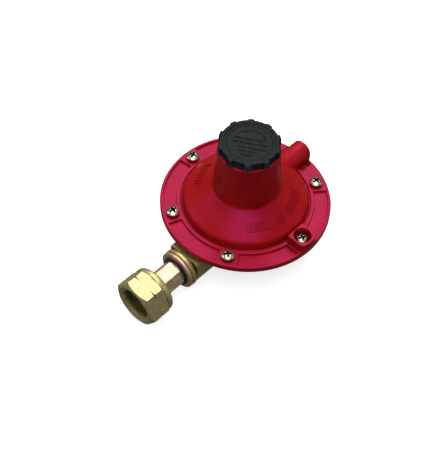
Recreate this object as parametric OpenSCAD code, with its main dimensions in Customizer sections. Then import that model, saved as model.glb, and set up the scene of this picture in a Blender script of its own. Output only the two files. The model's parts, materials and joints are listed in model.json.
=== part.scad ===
// Low-pressure gas regulator: spring-loaded diaphragm, lever-operated valve, union-nut inlet.
// Frame: millimetres, +Z up the bonnet tower, origin at the centre of the flat base face.
// The inlet points along -X, the vent and the outlet along +X.

/* [Flange] */
// Radius of the bonnet flange
flange_r = 52.5; // [51:0.5:54]
// Height of the flange's top face above the base
flange_z = 34.5; // [34:0.5:36]
// Thickness of the bonnet's flange
flange_t = 3.1; // [2.8:0.1:3.4]
// Depth of the arc pockets between the screw pads
pocket_depth = 1.4; // [0.8:0.1:1.6]
// Radius of the circle of flange screws
screw_circle_r = 45.75; // [45:0.25:46.5]
// Number of flange screws, the sealed one included
screw_count = 6; // [6:1:6]

/* [Tower] */
// Radius of the tower where it leaves the dome
tower_foot_r = 20.1; // [19.8:0.1:20.6]
// Radius of the tower at its rim
tower_rim_r = 18.6; // [18.4:0.1:19]
// Height of the tower's rim above the flange's top face
tower_h = 46.1; // [46:0.1:49]
// Radius of the threaded bore for the spring
spring_bore_r = 16; // [15.8:0.1:16.2]

/* [Cap] */
// Radius over the grip lugs
cap_lug_r = 18.6; // [18.2:0.1:18.7]
// Height of the cap above the tower's rim
cap_h = 5.2; // [4:0.1:5.6]
// Number of grip lugs
cap_lugs = 10; // [8:1:14]

/* [Vent] */
// Radius of the vent boss
vent_r = 6.8; // [6.4:0.1:7.2]
// Distance of the vent boss's mouth from the tower's axis
vent_x = 53.2; // [52.5:0.1:54]

/* [Inlet] */
// Depth of the inlet's axis below the flange's top face
inlet_drop = 17.4; // [17:0.1:17.8]
// Size across the flats of the union nut
nut_af = 28; // [27:0.1:28.4]
// Core radius of the union nut's left-hand thread
nut_thread_r = 10; // [9.9:0.05:10.1]
// Size across the flats of the nipple's hexagon
nipple_af = 14.6; // [14.4:0.1:15]
// Radius of the nipple's plain neck under the nut
neck_r = 7.75; // [7.7:0.01:7.76]

/* [Mechanism] */
// Length of the lever's arm from its pin to the diaphragm stem
lever_long = 13; // [12.8:0.1:13.2]
// Length of the lever's arm from its pin to the valve axis
lever_short = 6.6; // [6.5:0.1:6.7]
// Travel of the valve disc to the nozzle
valve_gap = 1.35; // [1.3:0.05:1.45]

/* [Hidden] */
$fn = 96;

tiny = 0.01;                                   // overshoot of a cutting solid
clamp_z = flange_z - flange_t;                 // underside of the bonnet's flange
rubber_t = 1.0;                                // diaphragm thickness
seat_z = clamp_z - rubber_t;                   // top of the lower body's flange
inlet_z = flange_z - inlet_drop;               // inlet, valve and outlet axis
lower_flange_r = 50;
lower_flange_t = 3.5;
rim_z = flange_z + tower_h;                    // top of the tower
screw_step = 360 / screw_count;
sealed_angle = 270;
open_angles = [for (a = [30 : screw_step : 330]) if (a != sealed_angle) a];
pad_half_angle = 7.5;                          // raised pad on each side of a screw
pocket_in_r = 42.1;
pocket_out_r = 50.7;
ring_in_r = 40.3;                              // thin ring inside the pockets
block_half_w = 6.6;                            // square block around the sealed screw
block_pad_half_w = 8.5;                        // flush ledge on each side of the block
block_top = 5.5;
block_in_y = 39.8;
washer_t = 1.05;                               // split lock washer under a screw's head
seal_pocket_r = 5.4;
vent_axis_z = flange_z + 3.6;
vent_bore_r = 4.6;
screen_seat_x = 45.6;
pivot_x = -lever_long;
pivot_z = inlet_z - lever_short;
stem_r = 4;
thread_r = 3;                                  // stem above the diaphragm
plate_t = 1.4;
spring_foot_z = clamp_z + plate_t;
spring_head_z = 60;
coil_r = 13.5;
wire_r = 1.2;
relief_coil_r = 5.2;
relief_wire_r = 0.55;
relief_top_z = 41.5;
nozzle_tip_x = -19.6;
disc_face_x = nozzle_tip_x + valve_gap;
block_front_x = -53;
block_back_x = -38.2;
hex_back_x = -60.9;
hex_front_x = -75.2;
nut_back_x = -75.5;
nut_front_x = -93.7;
hex_turn = 37.5;                               // turns a hexagon's corner 7.5 degrees above level

red = [0.62, 0.04, 0.12];
charcoal = [0.15, 0.18, 0.19];
zinc_yellow = [0.72, 0.66, 0.36];
zinc_pink = [0.74, 0.55, 0.45];
steel = [0.72, 0.72, 0.70];
brass = [0.78, 0.62, 0.30];
rubber_black = [0.05, 0.05, 0.05];

// Points of an arc in a profile, from angle a0 to a1
function arc(cx, cy, r, a0, a1, steps = 6) =
    [for (i = [0 : steps]) let (a = a0 + (a1 - a0) * i / steps) [cx + r * cos(a), cy + r * sin(a)]];

// Solid of revolution about the inlet axis, from [radius, x] points
module turned_x(profile) {
    translate([0, 0, inlet_z]) rotate([0, 90, 0]) rotate_extrude() polygon(profile);
}

// Cylinder on the inlet axis between two x values
module rod_x(r, x0, x1) {
    translate([x0, 0, inlet_z]) rotate([0, 90, 0]) cylinder(r = r, h = x1 - x0);
}

// Hexagonal bar on the inlet axis between two x values
module hex_x(af, x0, x1) {
    translate([x0, 0, inlet_z]) rotate([0, 90, 0]) rotate([0, 0, hex_turn])
        cylinder(r = af / 2 / cos(30), h = x1 - x0, $fn = 6);
}

// Ring about the inlet axis
module ring_x(r_out, r_in, x0, x1) {
    difference() {
        rod_x(r_out, x0, x1);
        rod_x(r_in, x0 - 1, x1 + 1);
    }
}

// O-ring about the inlet axis
module o_ring_x(r_major, r_minor, x) {
    translate([x, 0, inlet_z]) rotate([0, 90, 0]) rotate_extrude() translate([r_major, 0])
        circle(r = r_minor, $fn = 32);
}

// Places children at each screw of a list of angles, on the flange's top face
module at_screws(angles) {
    for (a = angles) rotate([0, 0, a]) translate([screw_circle_r, 0, flange_z]) children();
}

// Cutter for one arc pocket in the flange
module arc_pocket(a0, a1) {
    rotate([0, 0, a0]) rotate_extrude(angle = a1 - a0)
        translate([pocket_in_r, flange_z - pocket_depth])
            square([pocket_out_r - pocket_in_r, pocket_depth + 1]);
}

// Cover with flange, dome, spring tower, vent boss and the sealed screw's block
module upper_cover() {
    shoulder_r = 36.4;
    shoulder_z = flange_z + 4.2;
    foot_z = flange_z + 15.3;
    shell = concat(
        [[spring_bore_r, 49.2], [33.4, 37.2], [35.6, 34.4], [36.6, clamp_z], [50.15, clamp_z]],
        [[50.15, clamp_z - 0.9], [flange_r - 0.5, clamp_z - 0.9], [flange_r, clamp_z - 0.4]],
        arc(flange_r - 0.7, flange_z - 0.7, 0.7, 0, 90),
        [[ring_in_r, flange_z]],
        arc(39.5, flange_z - 0.3, 0.8, -10, -170),
        arc(shoulder_r - 1.4, shoulder_z - 2.2, 3.2, 5, 56),
        arc(tower_foot_r + 2.5, foot_z + 0.9, 2.0, 236, 182),
        [[19.3, flange_z + 31]],
        arc(tower_rim_r - 0.5, rim_z - 0.5, 0.5, 0, 90, 3),
        [[17.3, rim_z], [17.3, rim_z - 1.3], [spring_bore_r, rim_z - 1.3]]
    );
    color(red) difference() {
        union() {
            rotate_extrude() polygon(shell);
            // vent boss: round on top, straight sides down to the flange
            intersection() {
                union() {
                    translate([17.5, 0, vent_axis_z]) rotate([0, 90, 0]) rotate_extrude() polygon(concat(
                        [[0, 0], [vent_r, 0]],
                        arc(vent_r - 1.2, vent_x - 17.5 - 1.2, 1.2, 0, 90),
                        [[0, vent_x - 17.5]]
                    ));
                    translate([17.5, -vent_r, clamp_z + 0.6])
                        cube([vent_x - 17.5 - 0.8, vent_r * 2, vent_axis_z - clamp_z - 0.6]);
                }
                difference() {
                    translate([0, 0, clamp_z]) cylinder(r = vent_x, h = 20);
                    // keep the spring and diaphragm chamber open
                    translate([0, 0, clamp_z - 1]) rotate_extrude()
                        polygon([[0, 0], [36.6, 0], [36.6, 1], [35.6, 4], [33.4, 6.8], [15, 19.6], [0, 19.6]]);
                }
            }
            // square block around the sealed screw
            intersection() {
                translate([0, 0, flange_z - pocket_depth]) {
                    translate([-block_half_w, -49, 0])
                        cube([block_half_w * 2, 49 - block_in_y, block_top + pocket_depth]);
                    translate([3 - block_half_w, -flange_r - 1, 0])
                        cube([block_half_w * 2 - 6, flange_r + 1 - block_in_y, block_top + pocket_depth]);
                    for (side = [-1, 1])
                        translate([side * (block_half_w - 3), -49, 0]) cylinder(r = 3, h = block_top + pocket_depth);
                }
                cylinder(r = flange_r, h = flange_z + block_top);
            }
        }
        // pockets between the screw pads, and the two beside the vent boss
        for (a = [90 + pad_half_angle, 150 + pad_half_angle])
            arc_pocket(a, a + screw_step - 2 * pad_half_angle);
        arc_pocket(30 + pad_half_angle, 90 - pad_half_angle);
        difference() {
            arc_pocket(210 + pad_half_angle, 330 - pad_half_angle);
            translate([-block_pad_half_w, -flange_r - 1, flange_z - 3])
                cube([block_pad_half_w * 2, flange_r, 12]);
        }
        for (side = [-1, 1])
            intersection() {
                arc_pocket(-20, 20);
                translate([0, side * (vent_r + 1.7) - 1.7, flange_z - 3]) cube([60, 3.4, 6]);
            }
        // deeper pocket against the vent boss's foot
        translate([43.5, -vent_r - 3.2, flange_z - 2.3]) cube([5.4, 3.1, 4]);
        // screw holes and the deep pocket over the sealed screw
        at_screws(concat(open_angles, [sealed_angle]))
            translate([0, 0, -flange_t - 1]) cylinder(r = 2.25, h = flange_t + 2);
        at_screws([sealed_angle]) cylinder(r = seal_pocket_r, h = block_top + 1);
        // vent passage, screen seat and port
        translate([30, 0, vent_axis_z]) rotate([0, 90, 0]) cylinder(r = 2.2, h = 20);
        translate([screen_seat_x, 0, vent_axis_z]) rotate([0, 90, 0]) cylinder(r = 4.2, h = 8);
        translate([screen_seat_x + 2, 0, vent_axis_z]) rotate([0, 90, 0]) cylinder(r = vent_bore_r, h = 8);
    }
}

// Cast lower half: diaphragm chamber, inlet port, valve guide, lever ears and outlet port
module lower_body() {
    guide_end_x = -7;
    bowl_outer = concat(
        [[0, 0], [24.4, 0], [25, 0.6], [25.5, 2.2], [29, 4.6], [33.8, 9.8], [37.2, 16], [39.5, 22.5]],
        [[42, seat_z - lower_flange_t], [lower_flange_r - 1.5, seat_z - lower_flange_t]],
        [[lower_flange_r, seat_z - lower_flange_t + 1.6], [lower_flange_r, seat_z], [0, seat_z]]
    );
    bowl_inner = [
        [0, 4], [22, 4], [26, 7], [31, 13], [34.6, 21], [36.6, seat_z - 1], [36.6, seat_z + 1], [0, seat_z + 1]
    ];
    color(red) difference() {
        union() {
            difference() {
                union() {
                    rotate_extrude() polygon(bowl_outer);
                    rod_x(11.4, -37.2, -30);
                    rod_x(12, 30, 46);
                }
                rotate_extrude() polygon(bowl_inner);
            }
            // inlet boss and valve guide inside the bowl
            intersection() {
                union() {
                    rod_x(11.4, -37.2, -25.8);
                    rod_x(7.5, -26, guide_end_x);
                    translate([-28, -3, 2]) cube([11, 6, inlet_z - 2]);
                    // ears that carry the lever's pin
                    for (side = [-1, 1])
                        translate([pivot_x - 2.6, side * 4.3 - 1.3, 2]) cube([5.2, 2.6, pivot_z + 1]);
                }
                rotate_extrude() polygon(bowl_outer);
            }
            // outlet boss inside the bowl
            intersection() {
                rod_x(12, 26, 40);
                rotate_extrude() polygon(bowl_outer);
            }
        }
        // inlet port, nozzle thread, gas chamber and valve guide
        rod_x(9, -38, -26);
        rod_x(5.05, -27, -21.5);
        rod_x(4.9, -21.6, -16);
        rod_x(4.55, -17, guide_end_x + 1);
        translate([-21.5, -9, inlet_z - 3.2]) cube([5, 18, 14]);
        // flat seat for the inlet block and its gasket
        translate([-60, -12, 3]) cube([60 - 37.2, 24, seat_z - lower_flange_t - 3]);
        // slot for the lever
        translate([pivot_x - 3.2, -3, pivot_z - 3.2]) cube([9.3, 6, lever_short + 4]);
        translate([pivot_x, 8, pivot_z]) rotate([90, 0, 0]) cylinder(r = 1.25, h = 16);
        // outlet thread and passage
        rod_x(7.5, 34, 47);
        rod_x(5.5, 20, 35);
        // tapped holes for the flange screws
        at_screws(concat(open_angles, [sealed_angle]))
            translate([0, 0, -flange_t - rubber_t - lower_flange_t - 1]) cylinder(r = 2, h = lower_flange_t + 2);
    }
}

// Pan-head screw with a cross recess, its head standing on z = 0
module pan_screw() {
    head_r = 4.0;
    head_h = 2.7;
    shank_end = -7.4 - washer_t;
    difference() {
        rotate_extrude() polygon(concat(
            [[0, shank_end], [1.5, shank_end], [1.95, shank_end + 0.5], [1.95, 0], [head_r - 0.1, 0]],
            arc(head_r - 0.7, 0.8, 0.7, 0, 45, 3),
            arc(0, head_h - 5.7, 5.7, 57, 90, 6)
        ));
        for (turn = [0, 90]) rotate([0, 0, turn]) translate([-2.5, -0.75, head_h - 1.8]) cube([5, 1.5, 3]);
        translate([0, 0, head_h - 2.2]) cylinder(r = 1.35, h = 3);
    }
}

module flange_screws() {
    color(steel) at_screws(open_angles) translate([0, 0, washer_t]) rotate([0, 0, 20]) pan_screw();
}

module sealed_screw() {
    color(steel) at_screws([sealed_angle]) translate([0, 0, washer_t]) rotate([0, 0, 62]) pan_screw();
}

// Split spring washer under each screw's head
module lock_washers() {
    color(steel) at_screws(concat(open_angles, [sealed_angle])) difference() {
        cylinder(r = 3.85, h = washer_t);
        translate([0, 0, -1]) cylinder(r = 2.1, h = 4);
        rotate([0, 0, 120]) translate([1.5, -0.3, -1]) rotate([25, 0, 0]) cube([4, 0.5, 5]);
    }
}

// Black cap with grip lugs, stepped top and a hollow threaded plug
module closing_cap() {
    top_z = rim_z + cap_h;
    skirt_r = cap_lug_r - 1.15;
    plug_h = 6.5;
    color(charcoal) difference() {
        union() {
            rotate_extrude() polygon(concat(
                [[0, rim_z + 1.2], [13.4, rim_z + 1.2], [13.4, rim_z - plug_h], [15.5, rim_z - plug_h]],
                [[15.9, rim_z - plug_h + 0.5], [15.9, rim_z + tiny], [skirt_r, rim_z + tiny]],
                arc(skirt_r - 0.6, top_z - 0.6, 0.6, 0, 90, 4),
                [[15.4, top_z], [15.1, top_z - 0.9], [13.7, top_z - 0.9], [13.5, top_z - 1.4]],
                [[13.2, top_z - 1.4], [13, top_z - 1.1], [0, top_z - 1.1]]
            ));
            intersection() {
                for (i = [0 : cap_lugs - 1]) rotate([0, 0, 4 + i * 360 / cap_lugs])
                    translate([14.9, -1.75, rim_z + tiny]) cube([5, 3.5, cap_h]);
                rotate_extrude() polygon([
                    [14.4, rim_z], [cap_lug_r - 0.2, rim_z], [cap_lug_r, rim_z + 0.2],
                    [cap_lug_r, top_z - 0.65], [cap_lug_r - 0.5, top_z - 0.15], [14.4, top_z - 0.15]
                ]);
                difference() {
                    cylinder(r = 25, h = 100);
                    translate([0, 0, rim_z - 1]) cylinder(r = 16.2, h = 20);
                }
            }
        }
    }
}

// O-ring between the cap and the tower's rim
module cap_seal() {
    color(rubber_black) translate([0, 0, rim_z - 0.62]) rotate_extrude() translate([16.62, 0])
        circle(r = 0.55, $fn = 32);
}

// Threaded disc that sets the outlet pressure, with a hexagonal socket
module adjuster() {
    low_z = spring_head_z + 1.5;
    color(charcoal) difference() {
        translate([0, 0, low_z]) cylinder(r = spring_bore_r - 0.06, h = 8);
        translate([0, 0, low_z + 3]) cylinder(r = 7, h = 6, $fn = 6);
        translate([0, 0, low_z - 1]) cylinder(r = 3, h = 12);
    }
}

module upper_spring_seat() {
    color(steel) difference() {
        union() {
            translate([0, 0, spring_head_z]) cylinder(r = 15.4, h = 1.5);
            translate([0, 0, spring_head_z - 2]) cylinder(r = coil_r - wire_r - 0.4, h = 2.5);
        }
        translate([0, 0, spring_head_z - 3]) cylinder(r = 10.5, h = 6);
    }
}

// Compression spring with closed ends, as one swept tube
module coil_spring(r, wire, z0, z1, turns, steps = 24, sides = 8) {
    rows = turns * steps;
    travel = z1 - z0 - 2 * wire;
    closed = 2 * wire / travel;                // rise of one closed end turn
    // height fraction against turn number: flat end turns, even pitch between them
    function rise(t) = t < 1 ? closed * t
        : t > turns - 1 ? 1 - closed * (turns - t)
        : closed + (1 - 2 * closed) * (t - 1) / (turns - 2);
    points = [
        for (i = [0 : rows], k = [0 : sides - 1])
            let (t = i / steps, a = 360 * t, b = 360 * k / sides, q = r + wire * cos(b))
                [q * cos(a), q * sin(a), z0 + wire + travel * rise(t) + wire * sin(b)]
    ];
    skin = [
        for (i = [0 : rows - 1], k = [0 : sides - 1])
            let (n = (k + 1) % sides)
                [i * sides + k, i * sides + n, (i + 1) * sides + n, (i + 1) * sides + k]
    ];
    ends = [
        [for (k = [sides - 1 : -1 : 0]) k],
        [for (k = [0 : sides - 1]) rows * sides + k]
    ];
    polyhedron(points, concat(skin, ends));
}

module main_spring() {
    color(steel) coil_spring(coil_r, wire_r, spring_foot_z + 0.05, spring_head_z - 0.05, 7);
}

// Rubber diaphragm with one rolled convolution, clamped at its rim
module diaphragm() {
    roll_r = 32.2;
    color(rubber_black) difference() {
        union() {
            translate([0, 0, seat_z]) cylinder(r = lower_flange_r - 0.1, h = rubber_t);
            translate([0, 0, seat_z]) rotate_extrude() polygon(concat(
                arc(roll_r, 0, 3.2, 0, 180, 12),
                arc(roll_r, 0, 2.2, 180, 0, 12)
            ));
        }
        translate([0, 0, seat_z - 1]) cylinder(r = thread_r + 0.1, h = 4);
        translate([0, 0, seat_z - tiny]) rotate_extrude() polygon(arc(roll_r, 0, 2.2, 0, 180, 12));
        at_screws(concat(open_angles, [sealed_angle])) translate([0, 0, -6]) cylinder(r = 2.3, h = 5);
    }
}

// Dished steel plate that the spring stands on
module diaphragm_plate() {
    color(steel) difference() {
        union() {
            translate([0, 0, clamp_z]) cylinder(r = 28.4, h = plate_t);
            translate([0, 0, clamp_z]) cylinder(r = coil_r - wire_r - 0.4, h = plate_t + 1.2);
        }
        translate([0, 0, clamp_z + plate_t]) cylinder(r = 10.6, h = 3);
        translate([0, 0, clamp_z - 1]) cylinder(r = thread_r + 0.1, h = 5);
    }
}

module diaphragm_washer() {
    color(steel) translate([0, 0, seat_z - 1.2]) difference() {
        cylinder(r = 13, h = 1.2);
        translate([0, 0, -1]) cylinder(r = thread_r + 0.1, h = 4);
    }
}

// Stem through the diaphragm, with a window for the lever's tip
module diaphragm_stem() {
    color(brass) difference() {
        rotate_extrude() polygon([
            [0, pivot_z - 3.4], [stem_r - 0.5, pivot_z - 3.4], [stem_r, pivot_z - 2.9], [stem_r, 27.6], [6.5, 28],
            [6.5, seat_z - 1.2], [thread_r, seat_z - 1.2], [thread_r, 44.4], [thread_r - 0.5, 45], [0, 45]
        ]);
        translate([-5, -2.2, pivot_z - 1.65]) cube([10, 4.4, 3.3]);
    }
}

// Light spring that lets the diaphragm lift off its stem when the pressure is too high
module relief_spring() {
    color(steel) coil_spring(relief_coil_r, relief_wire_r, spring_foot_z + 0.05, relief_top_z - 0.05, 6, 20, 6);
}

module relief_nut() {
    color(brass) translate([0, 0, relief_top_z]) difference() {
        union() {
            cylinder(r = 7, h = 0.8);
            cylinder(r = 5, h = 3, $fn = 6);
        }
        translate([0, 0, -1]) cylinder(r = thread_r + 0.02, h = 6);
    }
}

// Bell-crank lever: long arm to the stem, short arm up to the valve holder
module lever() {
    half_w = 2;
    color(steel) translate([pivot_x, half_w, pivot_z]) rotate([90, 0, 0]) difference() {
        union() {
            cylinder(r = 2.05, h = 2 * half_w);
            translate([0, -0.6, 0]) cube([lever_long, 1.2, 2 * half_w]);
            translate([lever_long, 0, 0]) cylinder(r = 1.5, h = 2 * half_w);
            translate([-0.8, 0, 0]) cube([1.6, lever_short, 2 * half_w]);
            translate([0, lever_short, 0]) cylinder(r = 1.4, h = 2 * half_w);
        }
        translate([0, 0, -1]) cylinder(r = 1.26, h = 2 * half_w + 2);
    }
}

module lever_pin() {
    color(steel) translate([pivot_x, 7.4, pivot_z]) rotate([90, 0, 0]) difference() {
        cylinder(r = 1.2, h = 14.8);
        for (z = [0.6, 13.4]) translate([0, 0, z]) difference() {
            cylinder(r = 2, h = 0.8);
            translate([0, 0, -1]) cylinder(r = 0.9, h = 3);
        }
    }
}

// Two E-clips in the grooves of the lever's pin
module pin_clips() {
    color(steel) for (y = [-6.8, 6]) translate([pivot_x, y + 0.75, pivot_z]) rotate([90, 0, 0]) difference() {
        cylinder(r = 2.3, h = 0.7);
        translate([0, 0, -1]) cylinder(r = 0.95, h = 3);
        translate([-0.85, -3, -1]) cube([1.7, 3, 3]);
    }
}

// Sliding holder for the valve disc, with a cross slot for the lever's short arm
module valve_holder() {
    front_x = disc_face_x + 0.9;
    back_x = -6.9;
    color(brass) difference() {
        rod_x(4.5, front_x, back_x);
        rod_x(3.7, front_x - 1, front_x + 1.6);
        translate([pivot_x - 1.5, -2.2, inlet_z - 6]) cube([3, 4.4, 7.7]);
        // room for the lever's arm below its rounded tip
        translate([pivot_x - 1.5, -2.2, inlet_z - 6]) cube([3.7, 4.4, 4.3]);
    }
}

module valve_disc() {
    color(rubber_black) rod_x(3.65, disc_face_x, disc_face_x + 2.4);
}

// Brass inlet nozzle with a hexagonal head and a raised seat
module nozzle() {
    color(brass) difference() {
        union() {
            hex_x(14, -28.6, -26.6);
            turned_x([[0, -26.7], [5, -26.7], [5, -21.6], [2.6, nozzle_tip_x], [0, nozzle_tip_x]]);
        }
        rod_x(1.6, -30, -18);
        rod_x(2.6, -30, -23.5);
    }
}

module nozzle_seal() {
    color(brass) ring_x(7, 5.1, -26.6, -26);
}

// Plated inlet block: square body, round collar at the front and a threaded spigot at the back
module inlet_block() {
    half_w = 11.2;
    top = inlet_drop - 7.8;
    bottom = -8.9;
    section = [
        [-top + 1.2, half_w], [-top, half_w - 1.2], [-top, -half_w + 1.2], [-top + 1.2, -half_w],
        [-bottom - 4.4, -half_w], [-bottom, -half_w + 4.4], [-bottom, half_w - 4.4], [-bottom - 4.4, half_w]
    ];
    color(zinc_yellow) difference() {
        union() {
            translate([block_front_x, 0, inlet_z]) rotate([0, 90, 0])
                linear_extrude(block_back_x - block_front_x) polygon(section);
            turned_x([
                [0, -57], [12.0, -57], [12.5, -56.5], [12.5, -54.7], [12.0, -54.2], [10.4, -54],
                [10.4, -52.5], [0, -52.5]
            ]);
            rod_x(8.95, -39, -29.2);
        }
        rod_x(8.02, -58, -45.4);
        rod_x(3.5, -46, -28);
    }
}

module block_gasket() {
    color(rubber_black) ring_x(9.7, 9.05, block_back_x, -37.2);
}

module nipple_washer() {
    color(zinc_yellow) difference() {
        turned_x([
            [0, -59.3], [11.9, -59.3], [12.4, -58.8], [12.4, -57.7], [11.9, -57.2], [0, -57.2]
        ]);
        rod_x(8.05, -60, -56);
    }
}

module nipple_seal() {
    color(rubber_black) o_ring_x(8.55, 0.74, -60.1);
}

// Inlet nipple: sealing nose, plain neck for the nut, hexagon and threaded shank
module inlet_nipple() {
    color(zinc_pink) difference() {
        union() {
            turned_x([
                [0, -87.4], [5.6, -87.4], [6.6, -86.9], [6.6, -86.5], [5.8, -86.5], [5.8, -85.1], [7.0, -85.1],
                [7.0, -84], [neck_r, -83.2], [neck_r, -82.95], [6.95, -82.95], [6.95, -81.65],
                [neck_r, -81.65], [neck_r, -75], [0, -75]
            ]);
            intersection() {
                hex_x(nipple_af, hex_front_x, hex_back_x);
                turned_x([
                    [0, hex_front_x], [7.6, hex_front_x], [8.6, hex_front_x + 0.8], [8.6, hex_back_x - 0.8],
                    [7.9, hex_back_x], [0, hex_back_x]
                ]);
            }
            turned_x([
                [0, -62], [7.15, -62], [7.15, -61], [7.8, -61], [7.8, -59.4], [8.0, -59.4],
                [8.0, -46.6], [7.4, -46], [0, -46]
            ]);
        }
        rod_x(2.5, -80, -45);
        rod_x(3.3, -86, -78.5);
        rod_x(4.6, -88.6, -85.4);
    }
}

// Union nut: chamfered hexagon with a turned groove across its corners, round rear collar
module union_nut() {
    corner_r = nut_af / 2 / cos(30);
    flat_r = nut_af / 2;
    collar_r = 14.7;
    color(zinc_yellow) difference() {
        union() {
            intersection() {
                hex_x(nut_af, nut_front_x, -79.4);
                turned_x([
                    [0, nut_front_x], [13, nut_front_x], [flat_r + 0.15, -93.1], [corner_r + 0.2, -91.6],
                    [corner_r + 0.2, -86.6], [flat_r + 0.5, -86], [corner_r + 0.2, -85.4],
                    [corner_r + 0.2, -80.6], [collar_r, -79.6], [collar_r, -79], [0, -79]
                ]);
            }
            turned_x([
                [0, -80], [collar_r - 0.7, -80], [collar_r - 0.7, -79.5], [collar_r, -79.2],
                [collar_r, -77], [collar_r - 0.4, -76.1], [collar_r - 1.2, nut_back_x], [0, nut_back_x]
            ]);
        }
        turned_x([
            [0, -95], [12.6, -95], [12.3, nut_front_x], [11, -92.8], [nut_thread_r, -92.4],
            [nut_thread_r, -87.7], [10.8, -87.7], [10.8, -84.9], [9.8, -84.4], [9.8, -79.2], [0, -79.2]
        ]);
        rod_x(neck_r + 0.1, -80, -75);
    }
}

module thrust_washer() {
    color(steel) ring_x(9.5, neck_r + 0.08, -80.2, -79.2);
}

// Split ring that keeps the nut on the nipple
module nut_retaining_ring() {
    color(steel) translate([-82.9, 0, inlet_z]) rotate([0, 90, 0]) rotate_extrude(angle = 330)
        translate([7.0, 0]) square([2.2, 1.2]);
}

module nose_seal() {
    color(rubber_black) o_ring_x(6.62, 0.66, -85.8);
}

// Mesh thimble in the nipple's mouth
module inlet_filter() {
    color(steel) difference() {
        rod_x(3.24, -84.6, -78.6);
        rod_x(2.6, -85, -79.2);
    }
}

module filter_clip() {
    color(steel) ring_x(3.26, 2.4, -85.2, -84.6);
}

module vent_screen() {
    color(brass) translate([screen_seat_x, 0, vent_axis_z]) rotate([0, 90, 0]) cylinder(r = 4.15, h = 0.6);
}

module vent_retainer() {
    color(steel) translate([screen_seat_x + 0.6, 0, vent_axis_z]) rotate([0, 90, 0]) difference() {
        cylinder(r = 4.17, h = 1);
        translate([0, 0, -1]) cylinder(r = 3.2, h = 3);
    }
}

upper_cover();
lower_body();
flange_screws();
sealed_screw();
lock_washers();
closing_cap();
cap_seal();
adjuster();
upper_spring_seat();
main_spring();
diaphragm();
diaphragm_plate();
diaphragm_washer();
diaphragm_stem();
relief_spring();
relief_nut();
lever();
lever_pin();
pin_clips();
valve_holder();
valve_disc();
nozzle();
nozzle_seal();
inlet_block();
block_gasket();
nipple_washer();
nipple_seal();
inlet_nipple();
union_nut();
thrust_washer();
nut_retaining_ring();
nose_seal();
inlet_filter();
filter_clip();
vent_screen();
vent_retainer();
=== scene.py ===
"""Gas pressure regulator: materials, fine pieces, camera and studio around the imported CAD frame."""

import json
import math

import bpy
from mathutils import Matrix, Vector
from mathutils.bvhtree import BVHTree


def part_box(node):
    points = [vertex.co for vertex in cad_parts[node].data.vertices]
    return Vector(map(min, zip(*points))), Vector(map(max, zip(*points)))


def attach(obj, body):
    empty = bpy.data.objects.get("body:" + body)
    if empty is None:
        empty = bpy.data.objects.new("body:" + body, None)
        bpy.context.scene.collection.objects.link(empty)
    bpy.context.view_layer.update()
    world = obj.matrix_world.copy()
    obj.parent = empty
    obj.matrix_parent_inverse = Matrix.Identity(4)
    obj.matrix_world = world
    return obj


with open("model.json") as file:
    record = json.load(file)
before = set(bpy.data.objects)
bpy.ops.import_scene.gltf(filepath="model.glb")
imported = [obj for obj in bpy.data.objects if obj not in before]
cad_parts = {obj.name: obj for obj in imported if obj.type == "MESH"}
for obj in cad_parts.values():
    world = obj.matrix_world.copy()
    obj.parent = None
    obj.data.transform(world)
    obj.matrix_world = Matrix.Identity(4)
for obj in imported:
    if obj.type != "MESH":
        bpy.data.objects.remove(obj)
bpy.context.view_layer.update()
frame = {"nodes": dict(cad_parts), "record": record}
NODES = frame["nodes"]

MM = 0.001
SHADING_SAMPLES = 8
FLANGE_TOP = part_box("lock_washers")[0].z
MOUNTS = {mount["name"]: mount for mount in frame["record"]["mounts"]}


# ---------------------------------------------------------------- materials

def new_material(name):
    """A material with an empty Principled surface; returns it with its node tree and shader."""
    material = bpy.data.materials.new(name)
    material.use_nodes = True
    tree = material.node_tree
    shader = next(n for n in tree.nodes if n.type == "BSDF_PRINCIPLED")
    return material, tree, shader


def position(tree):
    """Object-space position in metres."""
    return tree.nodes.new("ShaderNodeTexCoord").outputs["Object"]


def noise(tree, scale, detail=3.0, roughness=0.5, vector=None):
    node = tree.nodes.new("ShaderNodeTexNoise")
    node.inputs["Scale"].default_value = scale
    node.inputs["Detail"].default_value = detail
    node.inputs["Roughness"].default_value = roughness
    tree.links.new(vector or position(tree), node.inputs["Vector"])
    return node.outputs["Fac"]


def stretched(tree, factors):
    """Object-space position with each axis multiplied, for brushed or turned marks."""
    node = tree.nodes.new("ShaderNodeMapping")
    node.inputs["Scale"].default_value = factors
    tree.links.new(position(tree), node.inputs["Vector"])
    return node.outputs["Vector"]


def ramp(tree, value, stops):
    """Colours at the given places along a 0 to 1 value."""
    node = tree.nodes.new("ShaderNodeValToRGB")
    elements = node.color_ramp.elements
    while len(elements) < len(stops):
        elements.new(0.5)
    for element, (place, colour) in zip(elements, stops):
        element.position = place
        element.color = (*colour, 1)
    tree.links.new(value, node.inputs["Fac"])
    return node.outputs["Color"]


def remap(tree, value, low, high, start=0.3, end=0.7):
    """Spreads the values from start to end over the range from low to high."""
    node = tree.nodes.new("ShaderNodeMapRange")
    node.inputs["From Min"].default_value = start
    node.inputs["From Max"].default_value = end
    node.inputs["To Min"].default_value = low
    node.inputs["To Max"].default_value = high
    tree.links.new(value, node.inputs["Value"])
    return node.outputs["Result"]


def multiply(tree, factor, colour, shade):
    """A colour multiplied by another to the given degree."""
    node = tree.nodes.new("ShaderNodeMix")
    node.data_type = "RGBA"
    node.blend_type = "MULTIPLY"
    node.inputs["Factor"].default_value = factor
    tree.links.new(colour, node.inputs["A"])
    tree.links.new(shade, node.inputs["B"])
    return node.outputs["Result"]


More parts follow.
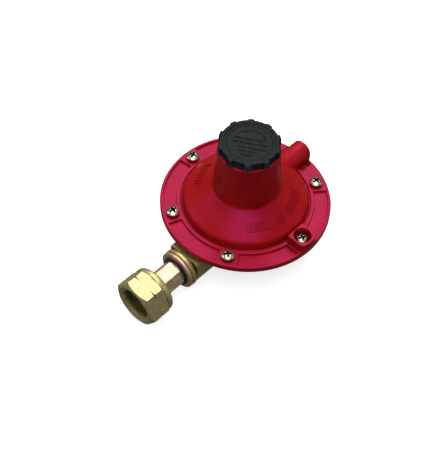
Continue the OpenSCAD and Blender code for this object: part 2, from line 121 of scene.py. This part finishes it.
def bump(tree, shader, height, strength, distance, below=None):
    """Relief on the shader's normal, on top of the normal below it."""
    node = tree.nodes.new("ShaderNodeBump")
    node.inputs["Strength"].default_value = strength
    node.inputs["Distance"].default_value = distance
    tree.links.new(height, node.inputs["Height"])
    if below is not None:
        tree.links.new(below, node.inputs["Normal"])
    tree.links.new(node.outputs["Normal"], shader.inputs["Normal"])
    return node.outputs["Normal"]


def rounded(tree, radius):
    """Normals that round off sharp edges by a radius."""
    node = tree.nodes.new("ShaderNodeBevel")
    node.samples = SHADING_SAMPLES
    node.inputs["Radius"].default_value = radius
    return node.outputs["Normal"]


def painted_crevice_shade(tree, colour, distance, darkest, closed=0.25, open_sky=0.85):
    """The colour, darkened where the surface is closed in: painted shade in recesses, creases and joints.
    """
    node = tree.nodes.new("ShaderNodeAmbientOcclusion")
    node.samples = SHADING_SAMPLES
    node.inputs["Distance"].default_value = distance
    shade = remap(tree, node.outputs["AO"], darkest, 1.0, closed, open_sky)
    return multiply(tree, 1.0, colour, shade)


def red_enamel():
    """Stoved enamel over a die casting: deep red with a soft pink sheen and fine orange peel."""
    material, tree, shader = new_material("red_enamel")
    tone = ramp(tree, noise(tree, 60, 4), [(0.35, (0.36, 0.0065, 0.0030)), (0.65, (0.43, 0.0095, 0.0055))])
    # Painted shade: the red is darkened in closed-in places, such as the joint of dome and tower.
    tree.links.new(painted_crevice_shade(tree, tone, 2.2 * MM, 0.30), shader.inputs["Base Color"])
    tree.links.new(remap(tree, noise(tree, 140, 5), 0.30, 0.42), shader.inputs["Roughness"])
    shader.inputs["Specular IOR Level"].default_value = 0.62
    shader.inputs["Specular Tint"].default_value = (1.0, 0.07, 0.58, 1)
    peel = bump(tree, shader, noise(tree, 90, 2), 0.22, 0.0010, rounded(tree, 0.35 * MM))
    bump(tree, shader, noise(tree, 1000, 2), 0.16, 0.00010, peel)
    return material


def charcoal_plastic(name, dark, light):
    """Moulded plastic with a fine matt grain."""
    material, tree, shader = new_material(name)
    tone = ramp(tree, noise(tree, 300, 4), [(0.3, dark), (0.7, light)])
    # Painted shade: the plastic is darkened in closed-in places.
    tree.links.new(painted_crevice_shade(tree, tone, 1.2 * MM, 0.15), shader.inputs["Base Color"])
    tree.links.new(remap(tree, noise(tree, 500, 4), 0.42, 0.56), shader.inputs["Roughness"])
    shader.inputs["Specular IOR Level"].default_value = 0.14
    bump(tree, shader, noise(tree, 2600, 3), 0.25, 0.00008, rounded(tree, 0.25 * MM))
    return material


def yellow_zinc(name, tones, scale=170.0, darkest=0.2):
    """Yellow-passivated zinc: metallic, with drifting pink, green and straw tints; the tints are the
    zinc's interference colours, except that the strong pink tone is partly a painted reflection of the red
    flange.
    """
    material, tree, shader = new_material(name)
    drift = noise(tree, scale, 5, 0.6)
    gap = 0.40 / (len(tones) - 1)
    base = ramp(tree, drift, [(0.30 + gap * i, tone) for i, tone in enumerate(tones)])
    speckle = ramp(tree, noise(tree, 1500, 2), [(0.42, (0.82, 0.82, 0.80)), (0.60, (1.0, 1.0, 1.0))])
    plated = multiply(tree, 0.8, base, speckle)
    # Painted shade: the zinc is darkened in closed-in places.
    tree.links.new(painted_crevice_shade(tree, plated, 3.0 * MM, darkest), shader.inputs["Base Color"])
    shader.inputs["Metallic"].default_value = 0.62
    tree.links.new(remap(tree, noise(tree, 420, 4), 0.34, 0.48), shader.inputs["Roughness"])
    turned = noise(tree, 1.0, 3, 0.6, stretched(tree, (2600, 220, 220)))
    marks = bump(tree, shader, turned, 0.12, 0.00006, rounded(tree, 0.25 * MM))
    bump(tree, shader, noise(tree, 800, 2), 0.10, 0.00006, marks)
    return material


def bright_metal(name, dark, light, roughness, recess_shade=(1.6 * MM, 0.12)):
    """Bare or clear-plated metal; the last argument is what the crevice function takes after the colour,
    for the painted shade in closed-in places.
    """
    grain = 700.0
    material, tree, shader = new_material(name)
    tone = ramp(tree, noise(tree, grain, 4), [(0.3, dark), (0.7, light)])
    # Painted shade: the colour is darkened in closed-in places.
    tree.links.new(painted_crevice_shade(tree, tone, *recess_shade), shader.inputs["Base Color"])
    shader.inputs["Metallic"].default_value = 1.0
    tree.links.new(remap(tree, noise(tree, grain * 0.6, 4), *roughness), shader.inputs["Roughness"])
    bump(tree, shader, noise(tree, grain * 2, 2), 0.10, 0.00005, rounded(tree, 0.15 * MM))
    return material


def black_rubber():
    """Dull black rubber for the seals."""
    material, tree, shader = new_material("black_rubber")
    tone = ramp(tree, noise(tree, 400, 4), [(0.3, (0.006, 0.006, 0.006)), (0.7, (0.014, 0.013, 0.012))])
    tree.links.new(tone, shader.inputs["Base Color"])
    tree.links.new(remap(tree, noise(tree, 700, 3), 0.50, 0.68), shader.inputs["Roughness"])
    bump(tree, shader, noise(tree, 1800, 3), 0.2, 0.00008)
    return material


STRAW = (0.72, 0.72, 0.28)
LIME = (0.54, 0.62, 0.15)
ROSE = (0.80, 0.48, 0.40)
AMBER = (0.74, 0.52, 0.22)
PALE = (0.96, 0.82, 0.54)
# Pink: partly the zinc's own interference tint, partly a painted reflection of the red flange.
PINK_TINT_AND_PAINTED_REFLECTION = (0.92, 0.36, 0.38)

RED = red_enamel()
CHARCOAL = charcoal_plastic("charcoal_plastic", (0.007, 0.010, 0.011), (0.011, 0.015, 0.016))
CHARCOAL_MARKS = charcoal_plastic("charcoal_marks", (0.0015, 0.002, 0.0025), (0.003, 0.004, 0.0045))
RUBBER = black_rubber()
ZINC_NUT = yellow_zinc("yellow_zinc_nut", [ROSE, STRAW, LIME, ROSE, STRAW, LIME, ROSE], 230.0)
# Darker copy of the nut's yellow zinc for its inner thread: painted shade inside the nut's bore, with deep
# painted shade in closed-in places.
SHADED_ZINC_THREAD = yellow_zinc("yellow_zinc_thread_painted_shade", [(0.20, 0.17, 0.05), (0.30, 0.24, 0.08)], 170.0, 0.1)
ZINC_NIPPLE = yellow_zinc("yellow_zinc_nipple", [ROSE, PALE, ROSE, STRAW, PALE])
# The rings and the block take the pink tone, partly as a painted reflection of the red flange near them.
ZINC_RINGS = yellow_zinc("yellow_zinc_rings", [PINK_TINT_AND_PAINTED_REFLECTION, STRAW, PINK_TINT_AND_PAINTED_REFLECTION, PALE, PINK_TINT_AND_PAINTED_REFLECTION])
ZINC_BLOCK = yellow_zinc("yellow_zinc_block", [AMBER, LIME, AMBER, PINK_TINT_AND_PAINTED_REFLECTION])
# Strong painted shade in the cross recesses and other closed-in places of the screws and washers.
SCREW_ZINC = bright_metal("pale_zinc", (0.72, 0.62, 0.40), (0.95, 0.88, 0.66), (0.20, 0.32),
                          recess_shade=(3.0 * MM, 0.02, 0.62, 0.90))
STEEL = bright_metal("spring_steel", (0.46, 0.46, 0.47), (0.60, 0.60, 0.60), (0.24, 0.40))
BRASS = bright_metal("machined_brass", (0.66, 0.48, 0.20), (0.82, 0.64, 0.32), (0.22, 0.36))

FINISHES = {
    RED: ["upper_cover", "lower_body"],
    CHARCOAL: ["closing_cap", "adjuster"],
    RUBBER: ["cap_seal", "diaphragm", "valve_disc", "block_gasket", "nipple_seal", "nose_seal"],
    ZINC_NUT: ["union_nut"],
    ZINC_NIPPLE: ["inlet_nipple"],
    ZINC_RINGS: ["nipple_washer"],
    ZINC_BLOCK: ["inlet_block"],
    SCREW_ZINC: ["flange_screws", "sealed_screw", "lock_washers"],
    BRASS: ["diaphragm_stem", "relief_nut", "valve_holder", "nozzle", "nozzle_seal", "vent_screen"],
    STEEL: ["upper_spring_seat", "main_spring", "diaphragm_plate", "diaphragm_washer", "relief_spring",
            "lever", "lever_pin", "pin_clips", "thrust_washer", "nut_retaining_ring", "inlet_filter",
            "filter_clip", "vent_retainer"],
}


def dress(obj, material):
    """One material over the whole object."""
    obj.data.materials.clear()
    obj.data.materials.append(material)


def soften(name, width):
    """Breaks the sharp edges of a CAD node with small bevels."""
    obj = NODES[name]
    weld = obj.modifiers.new("weld", "WELD")
    weld.merge_threshold = 0.002 * MM
    bevel = obj.modifiers.new("edges", "BEVEL")
    bevel.width = width
    bevel.segments = 2
    bevel.limit_method = "ANGLE"
    bevel.angle_limit = math.radians(38)
    bevel.harden_normals = True
    bevel.miter_outer = "MITER_ARC"


for finish, names in FINISHES.items():
    for name in names:
        dress(NODES[name], finish)

EDGE_BREAKS = {
    "upper_cover": 0.28, "lower_body": 0.28, "closing_cap": 0.18, "inlet_block": 0.3,
    "nipple_washer": 0.2, "inlet_nipple": 0.15, "union_nut": 0.18, "flange_screws": 0.08,
    "sealed_screw": 0.08, "lock_washers": 0.08,
}
for name, millimetres in EDGE_BREAKS.items():
    soften(name, millimetres * MM)


# ---------------------------------------------------------------- fine pieces

def new_piece(name, points, faces, body, material):
    """A new mesh that rides on a body and takes its finish from a material slot."""
    mesh = bpy.data.meshes.new(name)
    mesh.from_pydata(points, [], faces)
    mesh.update()
    obj = bpy.data.objects.new(name, mesh)
    bpy.context.scene.collection.objects.link(obj)
    dress(obj, material)
    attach(obj, body)


RAY_START_Z = 0.3
BAR_ROOT = 0.2 * MM
BAR_CREST_SHARE = 0.72


def top_surface(node):
    """A function that gives the height of a node's top surface at a point in plan."""
    obj = NODES[node]
    tree = BVHTree.FromObject(obj, bpy.context.evaluated_depsgraph_get())
    into = obj.matrix_world.inverted()

    def height(x, y):
        hit = tree.ray_cast(into @ Vector((x, y, RAY_START_Z)), Vector((0, 0, -1)))[0]
        return (obj.matrix_world @ hit).z
    return height


def raised_strips(name, strips, rise, height, body, material):
    """Plain raised bars along paths in plan, on the surface below; each strip is (path, widths)."""
    points, faces = [], []
    section = ((1, -BAR_ROOT), (BAR_CREST_SHARE, rise), (-BAR_CREST_SHARE, rise), (-1, -BAR_ROOT))
    for path, widths in strips:
        start = len(points)
        for i, (x, y) in enumerate(path):
            before, after = path[max(i - 1, 0)], path[min(i + 1, len(path) - 1)]
            along = Vector((after[0] - before[0], after[1] - before[1])).normalized()
            across = Vector((-along.y, along.x)) * widths[i] / 2
            for share, lift in section:
                px, py = x + across.x * share, y + across.y * share
                points.append((px, py, height(px, py) + lift))
        for i in range(len(path) - 1):
            ring, following = start + 4 * i, start + 4 * i + 4
            for k in range(4):
                n = (k + 1) % 4
                faces.append((ring + k, ring + n, following + n, following + k))
        faces.append((start + 3, start + 2, start + 1, start))
        faces.append(tuple(start + 4 * (len(path) - 1) + k for k in range(4)))
    new_piece(name, points, faces, body, material)


def straight(a, b):
    """Points from a to b in plan."""
    steps = 8
    run, climb = b[0] - a[0], b[1] - a[1]
    return [(a[0] + run * i / steps, a[1] + climb * i / steps) for i in range(steps + 1)]


def bowed(radius, first, last, steps=24):
    """Points on a circle about the tower's axis, between two angles in degrees."""
    angles = [math.radians(first + (last - first) * i / steps) for i in range(steps + 1)]
    return [(radius * math.cos(a), radius * math.sin(a)) for a in angles]


def cap_marks():
    """A turning arrow and rows of plain bars on the cap's recessed disc."""
    turn = math.radians(-58)
    along = Vector((math.cos(turn), math.sin(turn)))
    across = Vector((-math.sin(turn), math.cos(turn)))
    bar_width = 1.7 * MM
    arrow_radius = 9.8 * MM
    rows = {
        3.0: [(-9.0, -3.6), (-2.6, 1.4), (2.8, 8.3)],
        -0.3: [(-10.0, -6.6), (-5.6, 1.6), (2.8, 10.4)],
        -3.6: [(-6.1, -1.0), (0.2, 4.6), (5.5, 10.4)],
        -6.6: [(-5.5, -0.6), (0.4, 4.8)],
        -9.4: [(-3.8, 3.0)],
    }
    strips = []
    for offset, bars in rows.items():
        for first, last in bars:
            ends = [(along * t + across * offset) * MM for t in (first, last)]
            path = straight(ends[0], ends[1])
            strips.append((path, [bar_width] * len(path)))
    shaft = bowed(arrow_radius, -38, 52)
    strips.append((shaft, [1.3 * MM] * len(shaft)))
    head = bowed(arrow_radius, 52, 72, 8)
    strips.append((head, [(3.8 - 0.45 * i) * MM for i in range(9)]))
    raised_strips("cap_marks", strips, 0.25 * MM, top_surface("closing_cap"), "cap",
                  CHARCOAL_MARKS)


def cover_marks():
    """Groups of plain raised bars cast on the dome."""
    inner_end, outer_end = 27.8, 32.2
    strips = []
    for angles in (range(225, 252, 4), range(262, 272, 4), range(280, 316, 4), range(94, 132, 4)):
        for angle in angles:
            a = math.radians(angle)
            reach = Vector((math.cos(a), math.sin(a)))
            path = straight(reach * inner_end * MM, reach * outer_end * MM)
            strips.append((path, [1.4 * MM] * len(path)))
    raised_strips("cover_marks", strips, 0.5 * MM, top_surface("upper_cover"), "housing",
                  RED)


THREAD_STEPS = 72
THREAD_FADE = 20
THREAD_SINK = 0.1 * MM


def inner_thread(name, mount, x_range, depth, pitch, body, material):
    """Helical thread ridge inside a threaded mount along X, faded out at both ends."""
    axis_z = MOUNTS[mount]["pos_m"][2]
    radius = MOUNTS[mount]["dims"]["r_mm"] * MM
    first, last = x_range
    steps = int(THREAD_STEPS * (last - first) / pitch)
    root = radius + THREAD_SINK
    points, faces = [], []
    for i in range(steps + 1):
        a = 2 * math.pi * i / THREAD_STEPS
        x = first + pitch * i / THREAD_STEPS
        fade = min(1.0, i / THREAD_FADE, (steps - i) / THREAD_FADE)
        crest = radius - depth * fade
        for reach, shift in ((root, -0.42), (crest, -0.08), (crest, 0.08), (root, 0.42)):
            points.append((x + shift * pitch, reach * math.cos(a), axis_z + reach * math.sin(a)))
    for i in range(steps):
        for k in range(4):
            n = (k + 1) % 4
            faces.append((4 * i + k, 4 * i + 4 + k, 4 * i + 4 + n, 4 * i + n))
    faces.append((0, 1, 2, 3))
    faces.append(tuple(4 * steps + k for k in (3, 2, 1, 0)))
    new_piece(name, points, faces, body, material)


cap_marks()
cover_marks()
inner_thread("union_nut_thread", "inlet_union", (-92.0 * MM, -88.1 * MM), 0.75 * MM, 1.8 * MM,
             "inlet_nut", SHADED_ZINC_THREAD)
inner_thread("outlet_thread", "outlet_port", (35.0 * MM, 45.2 * MM), 0.6 * MM, 1.34 * MM,
             "housing", RED)
inner_thread("vent_thread", "vent_port", (48.2 * MM, 52.6 * MM), 0.4 * MM, 1.0 * MM,
             "housing", RED)


# ---------------------------------------------------------------- studio

def stage_floor():
    """Plain pale floor level with the base."""
    bpy.ops.mesh.primitive_plane_add(size=6, location=(0, 0, 0))
    floor = bpy.context.object
    floor.name = "studio_floor"
    material, tree, shader = new_material("pale_floor")
    shader.inputs["Base Color"].default_value = (0.93, 0.93, 0.93, 1)
    shader.inputs["Roughness"].default_value = 0.9
    shader.inputs["Emission Color"].default_value = (1, 1, 1, 1)
    shader.inputs["Emission Strength"].default_value = 0.75
    dress(floor, material)
    floor.visible_diffuse = False
    floor.visible_glossy = False


def area_light(name, direction, across, distance, size, power):
    """A softbox in a given direction from the object, facing it, its width along a given vector."""
    light = bpy.data.lights.new(name, "AREA")
    light.shape = "RECTANGLE"
    light.size, light.size_y = size
    light.energy = power
    obj = bpy.data.objects.new(name, light)
    bpy.context.scene.collection.objects.link(obj)
    toward = Vector(direction).normalized()
    wide = (across - toward * across.dot(toward)).normalized()
    axes = Matrix((wide, toward.cross(wide), toward)).transposed()
    obj.matrix_world = Matrix.Translation(Vector((0, 0, FLANGE_TOP)) + toward * distance) @ axes.to_4x4()


def camera_frame(azimuth, elevation):
    """Unit vectors from the object to the camera, to its right and up."""
    a, e = math.radians(azimuth), math.radians(elevation)
    back = Vector((math.sin(a) * math.cos(e), -math.cos(a) * math.cos(e), math.sin(e)))
    right = Vector((math.cos(a), math.sin(a), 0))
    return back, right, back.cross(right)


CAMERA_AZIMUTH = -50.086
CAMERA_ELEVATION = 50.911
CAMERA_ROLL = 4.177
CAMERA_DISTANCE = 583.77 * MM
CAMERA_LENS = 75.01
CAMERA_SHIFT = (-0.0649, -0.0665)

back, right, up = camera_frame(CAMERA_AZIMUTH, CAMERA_ELEVATION)


def add_camera():
    """The camera, looking at the flange from CAMERA_DISTANCE."""
    roll = math.radians(CAMERA_ROLL)
    rolled_right = right * math.cos(roll) + up * math.sin(roll)
    rolled_up = up * math.cos(roll) - right * math.sin(roll)
    data = bpy.data.cameras.new("camera")
    data.sensor_width = 36
    data.lens = CAMERA_LENS
    data.shift_x, data.shift_y = CAMERA_SHIFT
    data.clip_start = 0.01
    camera = bpy.data.objects.new("camera", data)
    bpy.context.scene.collection.objects.link(camera)
    axes = Matrix((rolled_right, rolled_up, back)).transposed()
    place = Vector((0, 0, FLANGE_TOP)) + back * CAMERA_DISTANCE
    camera.matrix_world = Matrix.Translation(place) @ axes.to_4x4()
    bpy.context.scene.camera = camera


def light_studio():
    """One long softbox overhead, leaning away from the camera, with a weak fill on each side."""
    world = bpy.data.worlds.new("studio")
    bpy.context.scene.world = world
    world.use_nodes = True
    sky = world.node_tree.nodes["Background"]
    sky.inputs["Color"].default_value = (1.0, 1.0, 1.0, 1)
    sky.inputs["Strength"].default_value = 0.10
    level_back = Vector((back.x, back.y, 0)).normalized()
    area_light("overhead", Vector((0, 0, 1)) - level_back * 0.16, right, 0.9, (0.8, 1.9), 13.2)
    area_light("left_fill", -right + Vector((0, 0, 0.55)), back, 1.1, (0.6, 0.5), 1.1)
    area_light("right_fill", right + Vector((0, 0, 0.5)), back, 1.1, (0.5, 0.4), 0.35)
    bpy.context.scene.view_settings.view_transform = "Standard"


stage_floor()
add_camera()
light_studio()
